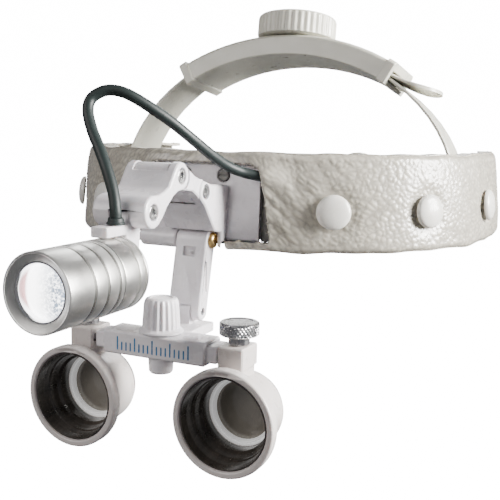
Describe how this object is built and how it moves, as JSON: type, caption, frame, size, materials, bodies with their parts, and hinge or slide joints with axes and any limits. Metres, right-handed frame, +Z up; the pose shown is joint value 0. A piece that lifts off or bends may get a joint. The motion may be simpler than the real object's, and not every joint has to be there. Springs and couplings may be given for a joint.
{
  "type": "head-worn binocular magnifier with light",
  "caption": "Head-worn binocular magnifier: leather-covered headband with an overhead arch and adjusting knobs, a hinged headlight, and a tilting bar with sliding loupe barrels.",
  "frame": {"origin": "centre of the head ring, at half the height of the headband", "axes": "+Z up, -Y is the way the wearer faces, +X is the wearer's left"},
  "size_m": [0.203, 0.3139, 0.1796],
  "materials": {
    "white_plastic": "smooth satin moulding",
    "cream_plastic": "satin moulding",
    "leather": "pebbled grain, slightly glossy",
    "foam": "soft cloth over foam",
    "aluminium": "fine turned finish",
    "steel": "bright plated",
    "brass": "bright turned",
    "black_plastic": "glossy",
    "cable": "satin jacket",
    "glass": "polished and coated",
    "lit_lens": "clear, lit from behind"
  },
  "bodies": {
    "headband": {"leather_cover": "leather", "band_shell": "white_plastic", "forehead_pad": "foam", "snap_cap_left_1": "white_plastic", "snap_cap_left_2": "white_plastic", "snap_cap_left_3": "white_plastic", "snap_cap_right_1": "white_plastic", "snap_cap_right_2": "white_plastic", "snap_cap_right_3": "white_plastic", "rear_strap_left": "cream_plastic", "rear_strap_right": "cream_plastic", "top_strap_left": "cream_plastic", "top_strap_right": "cream_plastic", "rear_box": "cream_plastic", "top_box": "cream_plastic", "front_plate": "white_plastic", "plate_screw_left": "steel", "plate_screw_right": "steel", "bracket": "white_plastic", "pin_bracket": "steel", "cable_socket": "black_plastic", "arm_screw": "brass", "cable": "cable"},
    "rear_knob": {"rear_knob": "cream_plastic"},
    "top_knob": {"top_knob": "cream_plastic"},
    "link_rear": {"link_rear": "white_plastic"},
    "link_front": {"link_front": "white_plastic", "pin_middle": "steel", "pin_light": "steel"},
    "light": {"light_holder": "white_plastic", "light_head": "aluminium", "light_tail": "aluminium", "light_lens": "lit_lens", "reflector": "steel", "led": "lit_lens", "heat_sink": "aluminium", "cable_gland": "black_plastic"},
    "loupe_arm": {"loupe_arm": "white_plastic", "tilt_pin": "steel"},
    "carrier": {"carrier": "white_plastic", "cross_bar": "white_plastic", "shaft_cap": "white_plastic"},
    "pd_knob": {"pd_knob": "white_plastic"},
    "slide_left": {"slide_left": "white_plastic"},
    "slide_right": {"slide_right": "white_plastic"},
    "barrel_left": {"barrel_shell_left": "white_plastic", "barrel_liner_left": "black_plastic", "retaining_ring_left": "white_plastic", "objective_lens_left": "glass", "eyepiece_lens_left": "glass", "eyepiece_ring_left": "white_plastic"},
    "barrel_right": {"barrel_shell_right": "white_plastic", "barrel_liner_right": "black_plastic", "retaining_ring_right": "white_plastic", "objective_lens_right": "glass", "eyepiece_lens_right": "glass", "eyepiece_ring_right": "white_plastic"},
    "thumbscrew_left": {"thumb_screw_left": "steel"},
    "thumbscrew_right": {"thumb_screw_right": "steel"}
  },
  "joints": [
    {"name": "top_knob_turn", "type": "hinge", "parent": "headband", "child": "top_knob", "pos_m": [0, -0.013, 0], "axis": [0, 0.1392, 0.9903], "range_deg": [-170, 170]},
    {"name": "rear_knob_turn", "type": "hinge", "parent": "headband", "child": "rear_knob", "pos_m": [0, 0.102, 0], "axis": [0, 1, 0], "range_deg": [-170, 170]},
    {"name": "link_rear_fold", "type": "hinge", "parent": "headband", "child": "link_rear", "pos_m": [0, -0.117, 0.0044], "axis": [1, 0, 0], "range_deg": [-18, 6], "deforming": ["cable"]},
    {"name": "link_front_fold", "type": "hinge", "parent": "link_rear", "child": "link_front", "pos_m": [0, -0.1344, 0.011], "axis": [1, 0, 0], "range_deg": [-25, 6], "deforming": ["cable"]},
    {"name": "light_tilt", "type": "hinge", "parent": "link_front", "child": "light", "pos_m": [0, -0.1535, -0.0005], "axis": [1, 0, 0], "range_deg": [-30, 10], "deforming": ["cable"]},
    {"name": "loupe_swing", "type": "hinge", "parent": "headband", "child": "loupe_arm", "pos_m": [0, -0.1042, -0.0158], "axis": [1, 0, 0], "range_deg": [-8, 18]},
    {"name": "loupe_tilt", "type": "hinge", "parent": "loupe_arm", "child": "carrier", "pos_m": [0, -0.1104, -0.0434], "axis": [1, 0, 0], "range_deg": [-12, 12]},
    {"name": "pupil_distance", "type": "hinge", "parent": "carrier", "child": "pd_knob", "pos_m": [0, -0.1305, -0.0482], "axis": [0, 0, 1], "range_deg": [-92, 92]},
    {"name": "slide_left_travel", "type": "slide", "parent": "carrier", "child": "slide_left", "axis": [1, 0, 0], "range_m": [-0.004, 0.004]},
    {"name": "slide_right_travel", "type": "slide", "parent": "carrier", "child": "slide_right", "axis": [1, 0, 0], "range_m": [-0.004, 0.004]},
    {"name": "barrel_turn_left", "type": "hinge", "parent": "slide_left", "child": "barrel_left", "pos_m": [0.0325, -0.1305, -0.0527], "axis": [0, 0, 1], "range_deg": [-5, 5]},
    {"name": "barrel_turn_right", "type": "hinge", "parent": "slide_right", "child": "barrel_right", "pos_m": [-0.0325, -0.1305, -0.0527], "axis": [0, 0, 1], "range_deg": [-5, 5]},
    {"name": "thumbscrew_left_turn", "type": "hinge", "parent": "barrel_left", "child": "thumbscrew_left", "pos_m": [0.0325, -0.1305, -0.0527], "axis": [0, 0, 1], "range_deg": [0, 270]},
    {"name": "thumbscrew_right_turn", "type": "hinge", "parent": "barrel_right", "child": "thumbscrew_right", "pos_m": [-0.0325, -0.1305, -0.0527], "axis": [0, 0, 1], "range_deg": [0, 270]}
  ],
  "couplings": [
    {"joint": "pupil_distance", "follows": "slide_left_travel", "rad_per_m": 400},
    {"joint": "slide_right_travel", "follows": "slide_left_travel", "ratio": -1}
  ]
}
